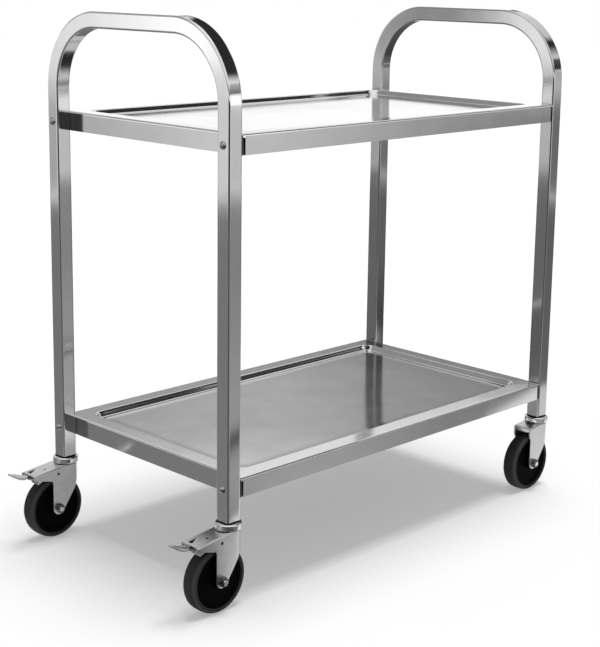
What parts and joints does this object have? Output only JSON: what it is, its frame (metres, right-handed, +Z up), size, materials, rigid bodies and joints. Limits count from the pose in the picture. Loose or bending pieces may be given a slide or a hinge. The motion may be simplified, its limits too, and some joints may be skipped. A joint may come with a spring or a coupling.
{
  "type": "two-shelf instrument cart",
  "caption": "Two-shelf stainless instrument cart: bent-tube end frames with push handles, recessed pan shelves bolted between them, and swivel casters with foot brakes at one end.",
  "frame": {"origin": "on the floor, under the middle of the box round the whole cart with its pedals", "axes": "+X along the cart from the braked end to the free end, +Y to the back, +Z up"},
  "size_m": [0.8734, 0.442, 0.838],
  "materials": {
    "polished_tube": "polished",
    "polished_sheet": "polished",
    "bolts": "polished",
    "bright_plating": "polished",
    "zinc_plating": "satin",
    "inner_steel": "satin",
    "black_plastic": "matte",
    "wheel_plastic": "matte",
    "tyre_rubber": "satin"
  },
  "bodies": {
    "cart_body": {"left_end_frame": "polished_tube", "right_end_frame": "polished_tube", "upper_shelf": "polished_sheet", "lower_shelf": "polished_sheet", "upper_shelf_bolts": "bolts", "lower_shelf_bolts": "bolts", "upper_shelf_nuts": "inner_steel", "lower_shelf_nuts": "inner_steel", "front_left_leg_plug": "black_plastic", "front_left_king_pin": "inner_steel", "front_left_swivel_cup": "bright_plating", "front_left_swivel_balls": "inner_steel", "rear_left_leg_plug": "black_plastic", "rear_left_king_pin": "inner_steel", "rear_left_swivel_cup": "bright_plating", "rear_left_swivel_balls": "inner_steel", "front_right_leg_plug": "black_plastic", "front_right_king_pin": "inner_steel", "front_right_swivel_cup": "bright_plating", "front_right_swivel_balls": "inner_steel", "rear_right_leg_plug": "black_plastic", "rear_right_king_pin": "inner_steel", "rear_right_swivel_cup": "bright_plating", "rear_right_swivel_balls": "inner_steel"},
    "front_left_pedal_body": {"front_left_brake_pedal": "zinc_plating"},
    "front_left_fork_body": {"front_left_fork": "zinc_plating", "front_left_axle_bolt": "bolts", "front_left_axle_nut": "bolts", "front_left_axle_sleeve": "inner_steel", "front_left_pedal_pin": "inner_steel", "front_left_brake_spring": "inner_steel"},
    "front_left_wheel_body": {"front_left_wheel_core": "wheel_plastic", "front_left_tyre": "tyre_rubber"},
    "rear_left_pedal_body": {"rear_left_brake_pedal": "zinc_plating"},
    "rear_left_fork_body": {"rear_left_fork": "zinc_plating", "rear_left_axle_bolt": "bolts", "rear_left_axle_nut": "bolts", "rear_left_axle_sleeve": "inner_steel", "rear_left_pedal_pin": "inner_steel", "rear_left_brake_spring": "inner_steel"},
    "rear_left_wheel_body": {"rear_left_wheel_core": "wheel_plastic", "rear_left_tyre": "tyre_rubber"},
    "front_right_fork_body": {"front_right_fork": "zinc_plating", "front_right_axle_bolt": "bolts", "front_right_axle_nut": "bolts", "front_right_axle_sleeve": "inner_steel"},
    "front_right_wheel_body": {"front_right_wheel_core": "wheel_plastic", "front_right_tyre": "tyre_rubber"},
    "rear_right_fork_body": {"rear_right_fork": "zinc_plating", "rear_right_axle_bolt": "bolts", "rear_right_axle_nut": "bolts", "rear_right_axle_sleeve": "inner_steel"},
    "rear_right_wheel_body": {"rear_right_wheel_core": "wheel_plastic", "rear_right_tyre": "tyre_rubber"}
  },
  "joints": [
    {"name": "front_left_swivel", "type": "hinge", "parent": "cart_body", "child": "front_left_fork_body", "pos_m": [-0.32631, -0.195, 0.1307], "axis": [0, 0, 1], "continuous": true},
    {"name": "front_left_roll", "type": "hinge", "parent": "front_left_fork_body", "child": "front_left_wheel_body", "pos_m": [-0.35331, -0.195, 0.05], "axis": [0, 1, 0], "continuous": true},
    {"name": "front_left_brake", "type": "hinge", "parent": "front_left_fork_body", "child": "front_left_pedal_body", "pos_m": [-0.35331, -0.195, 0.107], "axis": [0, -1, 0], "range_deg": [0, 8]},
    {"name": "rear_left_swivel", "type": "hinge", "parent": "cart_body", "child": "rear_left_fork_body", "pos_m": [-0.32631, 0.195, 0.1307], "axis": [0, 0, 1], "continuous": true},
    {"name": "rear_left_roll", "type": "hinge", "parent": "rear_left_fork_body", "child": "rear_left_wheel_body", "pos_m": [-0.35331, 0.195, 0.05], "axis": [0, 1, 0], "continuous": true},
    {"name": "rear_left_brake", "type": "hinge", "parent": "rear_left_fork_body", "child": "rear_left_pedal_body", "pos_m": [-0.35331, 0.195, 0.107], "axis": [0, -1, 0], "range_deg": [0, 8]},
    {"name": "front_right_swivel", "type": "hinge", "parent": "cart_body", "child": "front_right_fork_body", "pos_m": [0.41369, -0.195, 0.1307], "axis": [0, 0, 1], "continuous": true},
    {"name": "front_right_roll", "type": "hinge", "parent": "front_right_fork_body", "child": "front_right_wheel_body", "pos_m": [0.38669, -0.195, 0.05], "axis": [0, 1, 0], "continuous": true},
    {"name": "rear_right_swivel", "type": "hinge", "parent": "cart_body", "child": "rear_right_fork_body", "pos_m": [0.41369, 0.195, 0.1307], "axis": [0, 0, 1], "continuous": true},
    {"name": "rear_right_roll", "type": "hinge", "parent": "rear_right_fork_body", "child": "rear_right_wheel_body", "pos_m": [0.38669, 0.195, 0.05], "axis": [0, 1, 0], "continuous": true}
  ]
}
